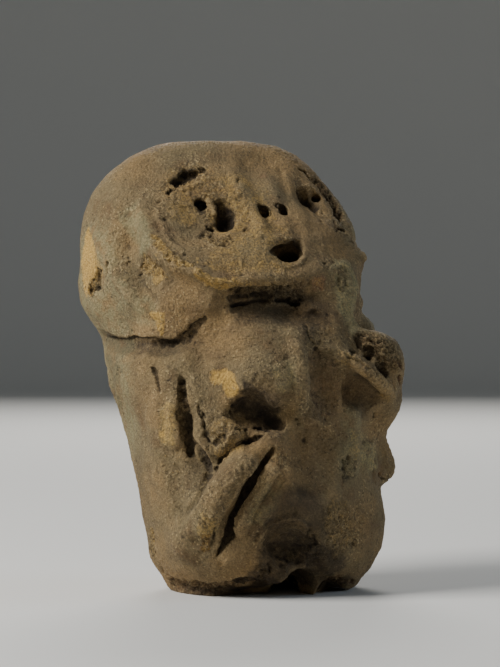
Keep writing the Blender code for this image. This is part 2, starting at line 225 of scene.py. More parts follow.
class Clay:
    """The skin of the clay as arrays of points and outward directions, with a share of each finish.

    Marks are placed in pixels of the photograph, or of a like picture from another side of the figure.
    """

    def __init__(self, mesh):
        self.mesh = mesh
        self.refresh()
        self.finish = {name: np.zeros(len(self.points)) for name in FINISHES}
        self.wander = np.stack(
            [
                sum(share * patchy(self.points + shift * MM, size * MM) for share, size in WANDERS)
                for shift in WANDER_SHIFTS
            ],
            axis=1,
        )

    def refresh(self):
        """Takes the points, their outward directions and the tree of faces from the mesh."""
        self.points = read(self.mesh.vertices, "co", 3)
        self.ways = read(self.mesh.vertex_normals, "vector", 3)
        work = bmesh.new()
        work.from_mesh(self.mesh)
        self.tree = BVHTree.FromBMesh(work)
        work.free()

    def write(self):
        """Gives the worked points to the mesh, so that later marks are placed on the skin as it is now."""
        self.mesh.vertices.foreach_set("co", self.points.astype(np.float32).ravel())
        self.mesh.update()
        self.refresh()

    def touch(self, side, x, y):
        """The point of the skin at a pixel of the picture from that side."""
        right, out = side_ways(side)
        eye = CLAY_AXIS + right * (FRAME_WIDTH_PIXELS / 2 - AXIS_PIXEL) * PIXEL + out * CAMERA_DISTANCE
        eye.z = CAMERA_HEIGHT
        mark = CLAY_AXIS + right * (x - AXIS_PIXEL) * PIXEL
        mark.z = (GROUND_PIXEL - y) * PIXEL
        hit = self.tree.ray_cast(eye, (mark - eye).normalized())[0]
        if hit is None:
            hit = self.tree.find_nearest(mark)[0]
        return np.array(hit)

    def work(
        self, path, width, depth=0.0, side=PHOTO_SIDE, lean=0.0, flat=1.0, fade=0.2, ragged=0.35, **finish
    ):
        """Drags a tool along a path of places, or presses it at one. Places and width are in pixels.

        A place may carry a width of its own. The depth is in millimetres, and a negative one raises the
        clay. From 0 to 1, lean makes the wall on the path's right steeper and the other softer, and below 0
        the other way round. Above 1, flat makes both walls steeper. Fade is the share of each end that dies
        out, and ragged is how far the stroke strays in the coarse clay. Each finish is laid on where the
        tool went.
        """
        out = np.array(side_ways(side)[1])
        line = np.array([(*self.touch(side, *place[:2]), (*place, width)[2]) for place in path])
        reach = line[:, 3].max() / 2 * PIXEL
        margin = reach * (1 + abs(lean)) + (1 + 2 * ragged) * MM
        low, high = line[:, :3].min(axis=0) - margin, line[:, :3].max(axis=0) + margin
        near = np.flatnonzero(np.all((self.points > low) & (self.points < high), axis=1))
        places = self.points[near] + ragged * self.wander[near]
        if len(path) == 1:
            gap = np.linalg.norm(places - line[0, :3], axis=1)
            share = np.full(len(near), 0.5)
        else:
            line = smooth_path(line)
            gap, share, hand = distance_to_line(places, line[:, :3], out)
            reach = np.interp(share, np.linspace(0, 1, len(line)), line[:, 3]) / 2 * PIXEL
            reach = reach * (1 - lean * hand)
        s = np.clip(gap / reach, 0, 1)
        bite = np.clip(flat * (1 - s * s) ** 2, 0, 1)
        if fade and len(path) > 1:
            ends = np.clip(np.minimum(share, 1 - share) / fade, 0, 1)
            bite *= ends * (2 - ends)
        if depth:
            self.points[near] -= self.ways[near] * (bite * depth * MM)[:, None]
        for name, strength in finish.items():
            layer = self.finish[name]
            share = strength * np.clip(2.5 * bite / flat, 0, 1)
            over = share > layer[near]
            if name == "wiped":
                self.finish["wipe"][near[over]] = gap[over]
            layer[near[over]] = share[over]

    def tear(self, path, width, depth, ragged=1.0, **more):
        """Works clay that tears under the tool, so that the edges stray."""
        self.work(path, width, depth, ragged=ragged, **more)

    def stain(self, path, width, ragged=1.4, **more):
        """Lays finishes alone, with frayed edges: real stains, and in places painted shade and painted light.
        """
        self.work(path, width, ragged=ragged, **more)

    def scatter(self, place, spread, count, width, depth, **more):
        """Presses a tool at that many random places within an oval, some of them fainter and smaller."""
        for _ in range(count):
            turn, far, size = CHANCE.uniform(0, 1, 3)
            x = place[0] + spread[0] * math.sqrt(far) * math.cos(2 * math.pi * turn)
            y = place[1] + spread[1] * math.sqrt(far) * math.sin(2 * math.pi * turn)
            self.work([(x, y)], width * (0.6 + 0.7 * size), depth * (0.4 + 0.9 * size), **more)

    def comb(self, first, last, count, width, depth, **more):
        """Drags a tool that many times between two paths, with the strokes unevenly long and spaced."""
        for step in range(count):
            share = (step + CHANCE.uniform(-0.3, 0.3)) / max(count - 1, 1)
            path = [
                (a[0] + share * (b[0] - a[0]), a[1] + share * (b[1] - a[1])) for a, b in zip(first, last)
            ]
            size = CHANCE.uniform(0.5, 1.3)
            self.work(path, width * size, depth * size, fade=CHANCE.uniform(0.2, 0.5), **more)


def soften(points, edges, passes, hold):
    """Moves each point towards the middle of its neighbours, by hold, from 0 to 1."""
    count = len(points)
    first, second = edges.T
    degree = np.bincount(edges.ravel(), minlength=count)[:, None]
    for _ in range(passes):
        total = [
            np.bincount(first, points[second, k], count) + np.bincount(second, points[first, k], count)
            for k in range(3)
        ]
        points = points + 0.5 * hold[:, None] * (np.stack(total, axis=1) / degree - points)
    return points


def edges_of(mesh):
    """A mesh's edges as rows of two point numbers."""
    values = np.empty(len(mesh.edges) * 2, np.int32)
    mesh.edges.foreach_get("vertices", values)
    return values.reshape(-1, 2)


remesh = ("REMESH", {"mode": "VOXEL", "voxel_size": SKIN_GRAIN, "adaptivity": 0.0})
clay = Clay(shaped(joined(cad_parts["figure"].data), remesh))
hold = np.ones(len(clay.points))
for place in EYES + NOSTRILS + [MOUTH]:
    away = np.linalg.norm(clay.points - clay.touch(PHOTO_SIDE, *place), axis=1)
    hold = np.minimum(hold, np.clip(away / HOLE_KEEP - 1, HOLE_HOLD, 1))
hold = np.minimum(hold, np.clip(clay.points[:, 2] / SOLE_KEEP, 0, 1))
clay.points = soften(clay.points, edges_of(clay.mesh), FACET_PASSES, hold)
clay.write()


# The planes of the head and the face
# The broad forms that thumbs left on the disc of the face, its rim, the nose and the side of the head.

clay.work([(166, 196), (170, 222), (182, 240)], 26, -0.7)
clay.work([(204, 212)], 64, -2.4)
clay.work([(184, 214)], 62, -2.2)
clay.work([(172, 200), (174, 222)], 38, -0.7)
clay.work([(234, 190)], 36, -1.5)
clay.work([(156, 208), (161, 226), (170, 243), (184, 256)], 16, -1.5)
clay.work([(148, 212), (154, 230), (163, 246), (176, 259), (192, 268), (226, 279)], 16, -1.3, lean=-0.3)
clay.work([(160, 268), (184, 284), (214, 296)], 36, 0.8, lean=0.3)
clay.work([(226, 164), (236, 184), (246, 202), (255, 220), (262, 240)], 24, -1.2, lean=0.4)
clay.work([(246, 156), (260, 184), (271, 216), (276, 236)], 28, 1.3)
clay.work([(278, 148), (284, 168), (290, 190), (297, 212), (303, 232)], 24, -1.1, lean=0.4)
clay.work([(226, 180), (238, 200), (243, 226), (232, 246)], 26, 0.9)
clay.work([(124, 236), (130, 262), (142, 284), (158, 306)], 28, 1.8, lean=-0.5)
clay.work([(104, 250), (122, 284), (150, 316)], 26, -1.6, lean=0.3)
clay.work([(140, 248), (156, 268), (168, 284)], 30, -1.2)
# Painted shade along the crease under the side of the head
clay.work([(98, 332), (118, 342), (150, 344), (182, 343), (200, 330)], 24, 2.2, lean=-0.4, soot=0.5)
clay.work([(300, 232), (318, 238), (340, 246)], 34, -0.6)
# Painted shade in the valley beside the left eye
clay.work([(292, 222), (304, 240), (306, 256)], 22, 0.7, soot=0.2)
clay.write()


# The right eye and the brow
# A thumb dent beside the pierced hole, in a dish that was torn rough at its top and right and stayed smooth
# on its left. Shade is painted into the hole, the dent and the gouge over the brow, and a little light onto
# the dish.

clay.stain([(190, 188)], 84, torn=0.3, ochre=0.32)
clay.tear([(234, 190), (238, 210), (236, 232)], 30, -0.5, torn=0.4, ochre=0.5)
clay.tear([(204, 232), (216, 240), (232, 238)], 22, 0.2, torn=0.7, ochre=0.3)
clay.stain([(162, 200), (166, 222)], 22, torn=0.5)
# Painted light on the dish, laid as ochre
clay.stain([(184, 208)], 50, ochre=0.4, ragged=1.0)
clay.stain([(234, 200), (262, 246)], 100, ochre=0.32, fade=0, ragged=1.0)
clay.work([(172, 190), (190, 187), (206, 180)], 10, -0.8)
clay.tear([(174, 183, 12), (182, 178, 18), (192, 175, 14), (203, 171, 7)], 16, 2.4, torn=0.5, fade=0)
# Painted shade in the gouge over the brow
clay.stain([(174, 183), (184, 178), (196, 174)], 19, soot=0.95)
clay.tear([(166, 197), (170, 191), (178, 189)], 5.0, 1.2, ragged=1.4, torn=0.8)
clay.scatter((184, 185), (14, 4), 14, 4.0, -1.0)
clay.scatter((206, 182), (24, 10), 15, 3.4, -0.42)
clay.tear([(151, 183), (153, 179), (158, 175)], 3.2, 1.2)
clay.tear([(156, 208), (158, 203), (161, 199)], 3.4, 1.4)
# The eye hole, with painted shade in it
clay.work([(200, 204), (203, 209)], 12, 4.0, flat=1.6, fade=0, soot=1.0)
clay.work([(210, 199), (213, 208), (213, 216)], 6.5, -0.9)
clay.work([(214, 206), (216, 218)], 8, -0.8)
clay.work([(220, 206, 20), (224, 216, 28), (227, 227, 26)], 24, 2.6, fade=0, ragged=0.6)
clay.work([(225, 213, 15), (228, 220, 20), (229, 227, 18)], 20, 2.0, fade=0, ragged=0.5)
# Painted shade in the thumb dent and among the torn crumbs below it
clay.stain([(220, 210, 20), (225, 218, 34), (227, 228, 32)], 24, soot=0.95, fade=0)
clay.tear([(208, 228), (215, 230)], 9, 1.0, ragged=1.4, torn=0.7, soot=0.5)
clay.scatter((211, 229), (7, 5), 9, 3.4, -0.6)
clay.scatter((236, 210), (9, 22), 13, 3.2, -0.49)
clay.work([(243, 231), (247, 226)], 2.4, 0.8)
clay.work([(239, 178), (238, 182)], 3.0, 1.0, fade=0)
clay.work([(229, 176)], 4.0, -0.8)
clay.work([(165, 226), (180, 244), (206, 256), (238, 259)], 34, wiped=1.0)
clay.stain([(206, 256), (250, 264)], 44, ochre=0.35, ragged=1.0)
clay.comb([(164, 236), (182, 252), (214, 262)], [(170, 222), (186, 238), (214, 248)], 6, 3.0, 0.35)
clay.work([(241, 257), (242, 269)], 3.0, -0.6)
clay.scatter((186, 262), (30, 8), 17, 3.4, -0.49, ochre=0.5)
clay.stain([(154, 232), (162, 246), (176, 258), (196, 268)], 13, ochre=0.75, torn=0.6)
clay.scatter((166, 250), (12, 14), 16, 3.0, -0.4, ochre=0.6)
clay.tear([(194, 271), (212, 279), (236, 283)], 18, -2.0, lean=-0.3, ochre=1.0, torn=0.4)
clay.write()

# More painted shade in the eye hole and the thumb dent
clay.work([(201, 206)], 16, soot=1.0)
clay.work([(202, 211)], 10, 1.0, soot=1.0)
clay.stain([(224, 220), (227, 229)], 24, soot=1.0, ragged=1.0, fade=0)


# The nose, the left eye and the mouth
# The nostrils and the mouth are slanted holes. The left eye is a dent with a slot beside it, under a scar
# that runs down the edge of the face. Shade is painted into the left eye and the mouth.

clay.work([(260, 206), (267, 216)], 8.0, 2.0, flat=1.3, fade=0)
clay.work([(279, 205), (286, 214)], 7.0, 2.0, flat=1.3, fade=0)
clay.work([(300, 193, 16), (305, 200, 21), (311, 207, 14), (317, 214, 7)], 16, 3.2, fade=0)
clay.work([(311, 206)], 12, 1.8)
# Painted shade in the left eye's dent
clay.stain([(300, 195), (307, 204), (316, 213)], 18, soot=1.0, ragged=1.0, fade=0.05)
clay.work([(296, 190), (302, 186), (310, 189)], 5.0, -0.7)
clay.work([(311, 197), (318, 202)], 5.0, 1.6, flat=1.3, fade=0)
clay.work([(304, 184), (314, 190), (322, 199)], 6.0, -0.9, lean=0.3)
clay.tear([(318, 212), (320, 223)], 2.8, 1.5)
clay.work([(322, 211), (323, 215)], 2.4, 1.2)
clay.tear(
    [(297, 169), (304, 173), (312, 182), (321, 192), (329, 200), (333, 208)],
    6.5, 1.0, lean=-0.3, torn=0.7, red=0.7,
)
clay.tear([(312, 176), (322, 187), (331, 198), (337, 208), (343, 218)], 15, 0.4, torn=1.0, red=0.8)
clay.tear([(333, 203), (336, 211), (337, 219)], 9, 1.8, torn=1.0, red=0.9)
clay.tear([(331, 216), (336, 226), (342, 232)], 3.5, 1.2, red=0.7)
clay.tear([(335, 232), (342, 229), (347, 233)], 4.0, 1.0, torn=0.8, red=0.7)
clay.work(
    [(273, 252, 9), (280, 249, 17), (288, 248, 21), (296, 248, 20), (300, 251, 13)],
    18, 2.6, flat=1.3, fade=0,
)
# The mouth's hole, with painted shade in it
clay.work([(297, 246)], 17, 3.2, soot=1.0)
clay.work([(284, 246), (297, 246)], 20, soot=0.8)
clay.work([(275, 246), (279, 252)], 4.0, -1.4, ragged=0.5, red=0.5)
clay.work([(272, 262), (286, 267), (300, 263), (306, 254)], 6.0, -0.7)
clay.tear([(321, 262), (326, 263), (329, 268)], 3.0, 1.2)
clay.scatter((343, 272), (9, 11), 15, 3.4, -0.42, ochre=0.25)
clay.stain([(343, 268), (340, 290)], 20, torn=0.5)
# Grey-green film down the right edge of the neck, partly painted light along that lit edge
clay.tear([(334, 262), (346, 280), (346, 300), (356, 326)], 44, -1.2, film=1.0, ochre=0.2, ragged=1.4)
clay.work([(350, 314), (362, 334)], 30, -0.8, film=0.8)
clay.tear([(347, 283), (349, 292)], 3.0, 1.0)
clay.tear([(320, 283)], 22, -0.5, red=1.0, ochre=0.3, ragged=1.4)
clay.stain([(262, 176)], 14, red=0.4)
clay.work([(289, 156), (290, 160)], 3.0, 0.8)
clay.work([(367, 256)], 14, -1.6)
clay.work([(355, 228)], 12, -1.0)
clay.work([(357, 239)], 8, 1.2)
clay.work([(360, 276)], 14, 0.8)
clay.write()


# The chin and the neck
# The face's ridge ends in a chin that was pinched forward. Below it the clay was scored and torn when the
# head was pushed back. The shadow that the chin casts on the neck, and shade in the scored lines, are painted
# in.

clay.work(
    [(228, 297, 12), (240, 300, 28), (260, 303, 44), (290, 308, 54), (322, 318, 46)],
    52, 4.2, lean=-0.5, ragged=0.8,
)
clay.work([(236, 320), (262, 324), (290, 328)], 30, 1.2)
clay.write()

# Painted shadow of the chin on the neck
clay.stain(
    [(254, 296, 18), (266, 301, 34), (280, 306, 48), (300, 312, 60), (326, 326, 54)],
    52, soot=0.75, fade=0.1,
)
clay.work([(222, 282), (250, 284), (282, 283)], 12, -0.8, ragged=0.7, ochre=0.35)
clay.stain([(228, 291), (250, 292), (278, 293), (304, 298)], 24, torn=0.6, soot=0.25)
# The painted shadow carried lower down the chest and towards the right of the neck
clay.work([(228, 316), (262, 317), (294, 321), (318, 334)], 44, soot=0.68, fade=0.25)
clay.stain([(284, 315), (298, 326)], 32, soot=0.6, ragged=1.0)
clay.comb([(233, 276), (233, 292)], [(312, 278), (306, 300)], 26, 2.8, 0.9)
clay.tear([(238, 290), (245, 292), (252, 290)], 10, 2.2, flat=1.4)
# Scored lines and a torn pit, with painted shade in them
clay.work([(226, 297), (242, 298), (257, 295), (272, 297)], 4.6, 1.8, ragged=0.3, fade=0.1, soot=0.6)
clay.work(
    [(223, 308), (234, 305), (249, 303), (262, 301), (280, 301), (296, 303)],
    5.0, 2.0, flat=1.2, ragged=0.3, fade=0.1, soot=0.7,
)
clay.scatter((288, 290), (20, 9), 12, 4.4, -0.84)
clay.tear([(288, 301), (295, 303), (300, 300)], 8, 2.2, torn=1.0, soot=0.7)
clay.tear([(294, 307), (298, 315), (304, 322)], 3.4, 1.6)
clay.tear([(290, 318), (297, 336), (301, 350)], 3.0, 1.1)
clay.tear([(306, 322), (310, 338), (318, 352)], 5.0, 0.9)
clay.work([(314, 308), (320, 326), (324, 348)], 40, 1.8, torn=0.3)
clay.comb([(226, 311), (270, 314)], [(230, 328), (276, 330)], 7, 3.0, 0.3)
clay.write()


# The side of the head and the jowl
# Worn and pitted, with the skin flaked off the right edge down to bright ochre and a torn hole below that.
# A sharp crease parts the head from the shoulders. Shade is painted into the hole and along the crease.

clay.tear(
    [(86, 238, 22), (87, 252, 44), (88, 268, 50), (87, 284, 34)], 40, 0.3, ragged=1.4, fade=0, ochre=1.0
)
clay.stain([(95, 262), (102, 280)], 26, ochre=0.5)
# The torn hole, with painted shade in it
clay.tear([(90, 288, 20), (97, 280, 26), (100, 274, 14)], 24, 0.7, ragged=1.4, torn=0.8, soot=0.5, fade=0)
clay.scatter((95, 279), (9, 10), 6, 4.2, -0.84)
clay.work([(107, 264), (108, 272)], 5.0, 2.2, fade=0)
clay.work([(97, 253), (97, 257)], 3.4, 1.4, fade=0.1)
clay.work([(84, 288)], 4.5, 1.5)
clay.tear([(100, 246), (106, 256), (113, 264)], 4.0, -0.6)
clay.tear([(120, 200), (119, 212)], 2.8, 1.1)
clay.work([(117, 230), (114, 234)], 2.6, 1.0)
clay.tear([(126, 250), (127, 258), (130, 266)], 5.0, 0.9)
clay.tear([(138, 275), (142, 273)], 5.5, 1.8)
clay.stain([(142, 258), (152, 268), (160, 282)], 26, torn=0.5, ochre=0.55)
clay.scatter((153, 272), (16, 14), 25, 3.6, -0.56, ochre=0.4)
clay.tear([(154, 285), (155, 296)], 4.0, 0.9)
clay.work(
    [(152, 316, 10), (159, 318, 16), (160, 325, 14), (162, 333, 6)],
    14, -0.4, ragged=0.8, fade=0, ochre=1.0, torn=0.3,
)
clay.tear([(165, 314), (160, 320)], 6, -0.3, ochre=0.9)
clay.stain([(140, 302), (146, 316)], 24, film=0.8, ragged=1.0)
clay.stain([(128, 205), (138, 232), (148, 252)], 34, film=0.7, ragged=1.0)
clay.work([(102, 262), (116, 286), (132, 302)], 30, -0.8, film=0.6)
clay.work([(132, 310), (160, 312)], 40, film=0.5)
clay.work(
    [(104, 335), (118, 338), (134, 338), (151, 338), (166, 341), (182, 341)],
    4.0, 2.6, lean=-0.3, ragged=0.15,
)
# Painted shade along the crease
clay.tear([(158, 342), (168, 342), (178, 342)], 7, 0.6, torn=0.3, soot=0.4)
clay.tear(
    [(172, 342, 10), (184, 339, 15), (192, 331, 15), (200, 323, 10), (207, 316, 4)],
    17, 0.5, torn=0.35, soot=0.62, fade=0,
)
clay.work([(182, 336), (190, 328), (198, 321), (207, 316)], 3.4, 1.3, ragged=0.5)
clay.comb([(182, 328), (182, 346)], [(208, 312), (208, 332)], 9, 2.4, 0.4)
clay.write()


# The breasts
# The right one is whole, wiped smooth above and scored below, with a flake off its tip. The left one is
# broken away to a torn crust over a smooth ridge. Shade is painted under the right one, in the valley beside
# it and in the hollow below the ridge.

clay.work([(290, 340), (299, 360), (302, 382), (300, 404)], 26, -2.8)
# A soft valley beside the breast, with some painted shade in it
clay.tear(
    [(314, 344, 12), (320, 360, 36), (326, 376, 46), (328, 398, 44), (322, 424, 24)],
    32, 2.8, torn=0.2, red=0.3, soot=0.3,
)
clay.work([(205, 345), (250, 342), (285, 352)], 44, wiped=0.8)
clay.work([(217, 376), (227, 378), (231, 389)], 20, 0.6, flat=2.0, fade=0, ragged=0.7, ochre=1.0)
clay.scatter((224, 380), (9, 8), 11, 3.2, -0.35)
clay.stain([(254, 376), (270, 388)], 36, torn=0.25, ragged=1.0)
clay.tear([(284, 360), (288, 394)], 32, -0.6, film=0.5, ochre=0.2, ragged=1.4)
clay.work(
    [(236, 410, 24), (248, 410, 38), (260, 415, 40), (272, 423, 26), (284, 427, 10)],
    30, 3.6, lean=0.35, fade=0.1,
)
clay.work([(249, 411)], 48, 4.6)
clay.work([(272, 404)], 26, -1.6)
# Painted shade under the breast
clay.stain([(238, 400), (254, 404), (272, 420)], 50, soot=0.88, torn=0.3)
clay.stain([(242, 406), (256, 412), (274, 424)], 32, soot=1.0, fade=0.05)
clay.work([(256, 434), (280, 438)], 26, soot=0.45)
clay.stain([(230, 410), (246, 414)], 20, soot=0.5, torn=0.5, ragged=1.0)
clay.comb([(224, 406), (236, 404), (250, 404)], [(224, 418), (240, 421), (258, 421)], 5, 3.0, 1.0)
clay.tear([(222, 416), (236, 420), (250, 422), (266, 419)], 4.5, 2.0)
clay.tear([(252, 424), (266, 428), (281, 427)], 5.5, 2.2)
clay.work([(284, 368), (286, 371)], 4.0, 1.4, fade=0)
clay.tear([(294, 419), (298, 423), (301, 429)], 4.5, 1.4)
clay.write()

# More painted shade under the breast
clay.tear([(238, 403, 20), (250, 408, 34), (262, 415, 34), (276, 423, 18)], 30, 0.6, fade=0, soot=1.0)
clay.comb([(228, 402), (242, 405), (256, 410)], [(232, 416), (246, 418), (262, 422)], 5, 3.4, 0.9)
clay.work(
    [(336, 350), (350, 358), (364, 368), (380, 381), (396, 399)], 20, -2.8, lean=-0.35, torn=0.2, ochre=0.3
)
clay.write()

clay.stain([(356, 340), (368, 340), (386, 350), (398, 372)], 34, flat=2.0, ragged=0.5, torn=1.0, red=0.45)
clay.tear([(346, 351), (357, 358), (369, 366), (380, 374), (393, 384)], 5.0, 1.6, flat=1.3)
clay.tear([(350, 350), (354, 351), (357, 355)], 9, 0.8, torn=1.0)
clay.tear([(364, 359), (369, 354), (371, 361)], 10, 1.8, torn=1.0)
clay.tear([(376, 366), (382, 368), (388, 377)], 13, 2.0, torn=1.0)
clay.comb([(352, 332), (358, 348)], [(392, 346), (394, 372)], 18, 3.0, 1.1)
clay.scatter((374, 348), (24, 10), 15, 4.0, -0.7)
clay.work([(401, 362), (402, 370)], 4.5, 1.8, red=1.0, ragged=0.5)
clay.work([(400, 376), (401, 386)], 4.5, 2.0, red=1.0, ragged=0.5)
clay.tear([(392, 378), (397, 388)], 3.0, 1.4, red=0.6)
# A hollow under the ridge, with painted shade in it
clay.tear([(350, 372), (360, 388), (374, 408)], 46, 1.7, lean=-0.2, ragged=1.4, soot=0.55)
clay.work([(342, 368), (345, 392)], 18, 0.5)
clay.tear([(343, 402), (345, 412)], 3.4, 1.2)
clay.work([(374, 414), (374, 419)], 4.0, 1.0)
clay.write()


# The right arm
# The upper arm hangs, and the forearm comes up across the belly. Both were set off with a stick dragged
# through the wet clay, which left sharp edges, torn clods and a deep slot under the forearm. Shade is painted
# into the grooves, along the shoulder's edge and down the side, and light onto the belly beside the slot, the
# clay under the hand and the forearm's lower end.

clay.work([(174, 394), (172, 420), (175, 450)], 32, -2.0, lean=0.4)
clay.work([(274, 464), (262, 482), (252, 500), (244, 518), (236, 538)], 20, -4.2, flat=1.2)
clay.work([(266, 478), (257, 498), (249, 516), (240, 534)], 14, -2.6)
clay.work([(290, 462), (278, 492), (264, 526)], 50, -2.4)
# Painted light on the belly beside the slot, laid as ochre and film
clay.stain([(274, 476), (264, 500), (254, 526)], 34, ochre=0.2, film=0.6)
clay.work([(214, 420), (228, 438), (214, 456)], 34, -2.2, ochre=0.35)
clay.work([(140, 400), (146, 440), (152, 480)], 26, 0.8)
clay.write()

clay.work(
    [(183, 380, 8), (184, 395, 14), (186, 412, 18), (188, 427, 17), (191, 443, 12), (194, 460, 5)],
    15, 2.2, lean=-0.4, ragged=0.7, torn=0.5,
)
clay.work([(182, 381)], 10, 2.0)
clay.tear([(180, 406), (186, 408)], 5.0, -1.0)
# A groove with painted shade in it
clay.work([(192, 436, 6), (198, 450, 12), (204, 461, 13), (210, 473, 6)], 12, 3.2, lean=0.3, soot=0.4)
clay.tear([(207, 466), (209, 474), (209, 480)], 5.0, 1.8)
clay.tear([(198, 400), (203, 420), (208, 438), (211, 454)], 3.8, 1.6)
clay.tear([(190, 386), (194, 404), (197, 428)], 3.2, 1.0)
clay.work([(151, 367), (155, 376), (157, 385), (159, 394)], 4.0, 2.2, lean=0.3, ragged=0.15)
clay.tear([(158, 384), (168, 380), (176, 376)], 3.0, 0.8)
# Painted shade along the shoulder's edge, down the side and beside the forearm
clay.stain([(112, 344), (113, 376), (120, 414)], 44, soot=0.35, ragged=1.0)
clay.stain([(136, 452), (144, 500), (156, 532)], 44, soot=0.2, ragged=1.0)
clay.stain([(196, 462), (192, 492)], 28, soot=0.35, ragged=1.0)
clay.stain([(162, 428), (164, 438)], 13, ochre=0.7)
clay.stain([(170, 402), (168, 424), (168, 448)], 24, ochre=0.45, film=0.5, ragged=1.0)
clay.scatter((133, 415), (7, 8), 6, 3.6, -0.49)
clay.scatter((176, 462), (16, 16), 23, 3.4, -0.56, ochre=0.35)
clay.stain([(204, 424), (222, 430), (214, 450)], 32, torn=0.5, ragged=1.0)
clay.tear([(212, 444), (221, 436), (234, 430), (250, 428)], 4.0, 1.0, torn=0.5)
clay.tear(
    [(214, 474), (217, 465), (223, 457), (234, 447), (243, 441), (255, 437), (266, 434)],
    5.0, 1.2, lean=-0.3, torn=0.5,
)
clay.scatter((254, 434), (16, 7), 8, 4.4, -0.84)
# Raised clay under the hand, with its ochre partly painted light
clay.work([(224, 436), (246, 442)], 38, -2.4, ochre=0.4)
clay.work([(210, 468), (203, 486), (195, 502), (182, 516)], 13, 1.8, lean=0.3)
clay.write()

clay.work([(206, 524), (222, 502), (238, 478), (254, 454)], 34, -2.8, lean=0.3)
clay.work([(255, 460), (243, 477), (232, 493), (222, 511), (212, 530)], 14, -1.2, ochre=0.3)
clay.write()

# The deep slot under the forearm, with painted shade in it
clay.work(
    [
        (274, 446, 5), (263, 461, 10), (252, 479, 14), (243, 496, 17), (236, 512, 19), (229, 528, 18),
        (221, 544, 12),
        (214, 557, 5),
    ],
    12, 3.6, lean=0.6, fade=0.04, ragged=0.4, soot=0.3,
)
clay.work([(216, 526), (214, 536), (211, 547)], 5.5, 1.6, ragged=0.5, fade=0.15)
clay.work([(219, 524), (217, 536), (217, 550)], 4.0, -0.8)
# Painted light on the forearm's lower end, laid as ochre and film
clay.work([(206, 512), (207, 536)], 26, -0.8, ochre=0.5, film=0.7)
clay.tear([(206, 534), (205, 550)], 10, -0.6, red=0.9, ochre=0.6, torn=0.5)
clay.scatter((222, 500), (24, 20), 22, 3.4, -0.49, ochre=0.3)
clay.stain([(196, 524), (224, 490), (252, 456)], 40, torn=0.45, ragged=1.0)
clay.work([(170, 498), (178, 522), (186, 546)], 10, -0.9)
clay.work([(178, 506), (190, 528), (198, 548)], 20, 1.0)
clay.tear([(150, 520), (157, 527), (160, 540)], 2.8, 0.9)
clay.tear([(155, 551), (157, 556)], 4.5, 1.8, red=0.7, fade=0.1)
clay.stain([(152, 530), (152, 556)], 18, ochre=0.42, torn=0.6)
clay.work([(160, 567), (163, 574)], 4.0, 1.2)
clay.write()


# The left side of the belly
# A soft valley beside the breast runs down into the belly, and the side swells out again before the broken
# stump. A little shade is painted into the valley and light onto the swell.

clay.work([(304, 426), (312, 462), (308, 500)], 56, 2.6)
# Painted shade in the valley
clay.work([(324, 428), (328, 465), (324, 502)], 32, 1.6, soot=0.15)
clay.work([(350, 404), (353, 436), (351, 478)], 40, -1.8, lean=-0.3, film=0.5)
clay.work([(374, 444), (375, 462), (374, 484)], 10, 0.6)
clay.tear([(366, 444), (372, 472)], 44, -1.4, ochre=0.25, film=0.9, ragged=1.4)
# Painted light on the swelling side, laid as ochre and film
clay.work([(356, 428), (360, 470)], 40, ochre=0.25, film=0.5)
clay.stain([(346, 455), (350, 480)], 26, torn=0.6, film=0.75)
clay.stain([(336, 500), (340, 530), (346, 556)], 50, torn=0.5, ochre=0.25)
clay.stain([(356, 500), (358, 540)], 30, torn=0.3)
clay.work([(384, 446), (386, 460), (388, 470)], 9, -0.8)
clay.work([(379, 474), (384, 479), (392, 480)], 5.0, 2.0, ragged=0.5)
clay.work([(381, 474)], 5.0, 2.4, red=0.8)
clay.work([(377, 484)], 4.0, 1.6, red=0.6)
clay.comb([(290, 410), (306, 440)], [(322, 400), (330, 440)], 9, 3.0, 0.3)
clay.tear([(306, 462)], 6, -0.6, ochre=0.6)
clay.write()


# The belly and the base
# The belly was wiped in arcs round the opening between the feet. The front edge of the base is lifted and
# torn, with soot from the hearth above the opening. Shade is painted down the lower belly, into the opening
# between the feet and under the base's edge.

clay.work([(262, 524), (286, 544), (310, 556)], 66, 2.6)
clay.work([(284, 548)], 56, 2.4, flat=1.6, soot=0.8)
clay.write()

# Painted shade down the lower belly, into the opening between the feet and under the edge of the base, laid
# over the real soot above the opening
clay.stain([(290, 484), (296, 528), (300, 564)], 84, soot=0.8, fade=0.45)
clay.work([(306, 430), (314, 462), (306, 496)], 60, soot=0.2)
clay.stain([(276, 562), (300, 548), (330, 566)], 50, soot=0.92)
clay.stain([(304, 532), (310, 556), (318, 580)], 30, soot=1.0)
clay.work([(296, 578), (306, 574), (318, 580)], 30, soot=0.9)
clay.stain([(272, 562)], 46, soot=0.85)
clay.stain([(240, 583, 16), (256, 580, 28), (268, 575, 32), (282, 567, 34)], 34, soot=1.0, fade=0)
clay.stain([(332, 568)], 40, soot=0.9)
clay.work([(342, 584)], 30, soot=0.6)
clay.work([(257, 552), (261, 536), (272, 524), (288, 519), (302, 523), (309, 534)], 7.0, -1.4, wiped=0.6)
clay.work([(258, 548), (268, 534), (286, 528), (304, 536)], 34, wiped=1.0)
clay.comb([(262, 544), (284, 524), (308, 538)], [(274, 556), (288, 548), (300, 556)], 6, 3.4, 0.6)
clay.work([(268, 548), (284, 545), (300, 548)], 20, 1.6)
clay.tear([(304, 522), (308, 536), (309, 552)], 5.0, 1.8)
clay.tear([(313, 530), (313, 546), (316, 558)], 5.0, 1.6)
clay.comb([(300, 540), (302, 566)], [(326, 536), (326, 572)], 8, 3.6, 0.8)
clay.stain([(300, 540), (312, 552), (320, 566)], 34, torn=0.5, soot=0.6, ragged=1.0)
clay.stain([(278, 560), (294, 558), (300, 562)], 16, torn=0.4, ochre=0.3)
clay.tear([(276, 558), (285, 564), (286, 574)], 6.0, -1.8, torn=0.4)
clay.tear([(256, 566), (264, 574), (258, 580)], 13, -1.0, torn=0.8)
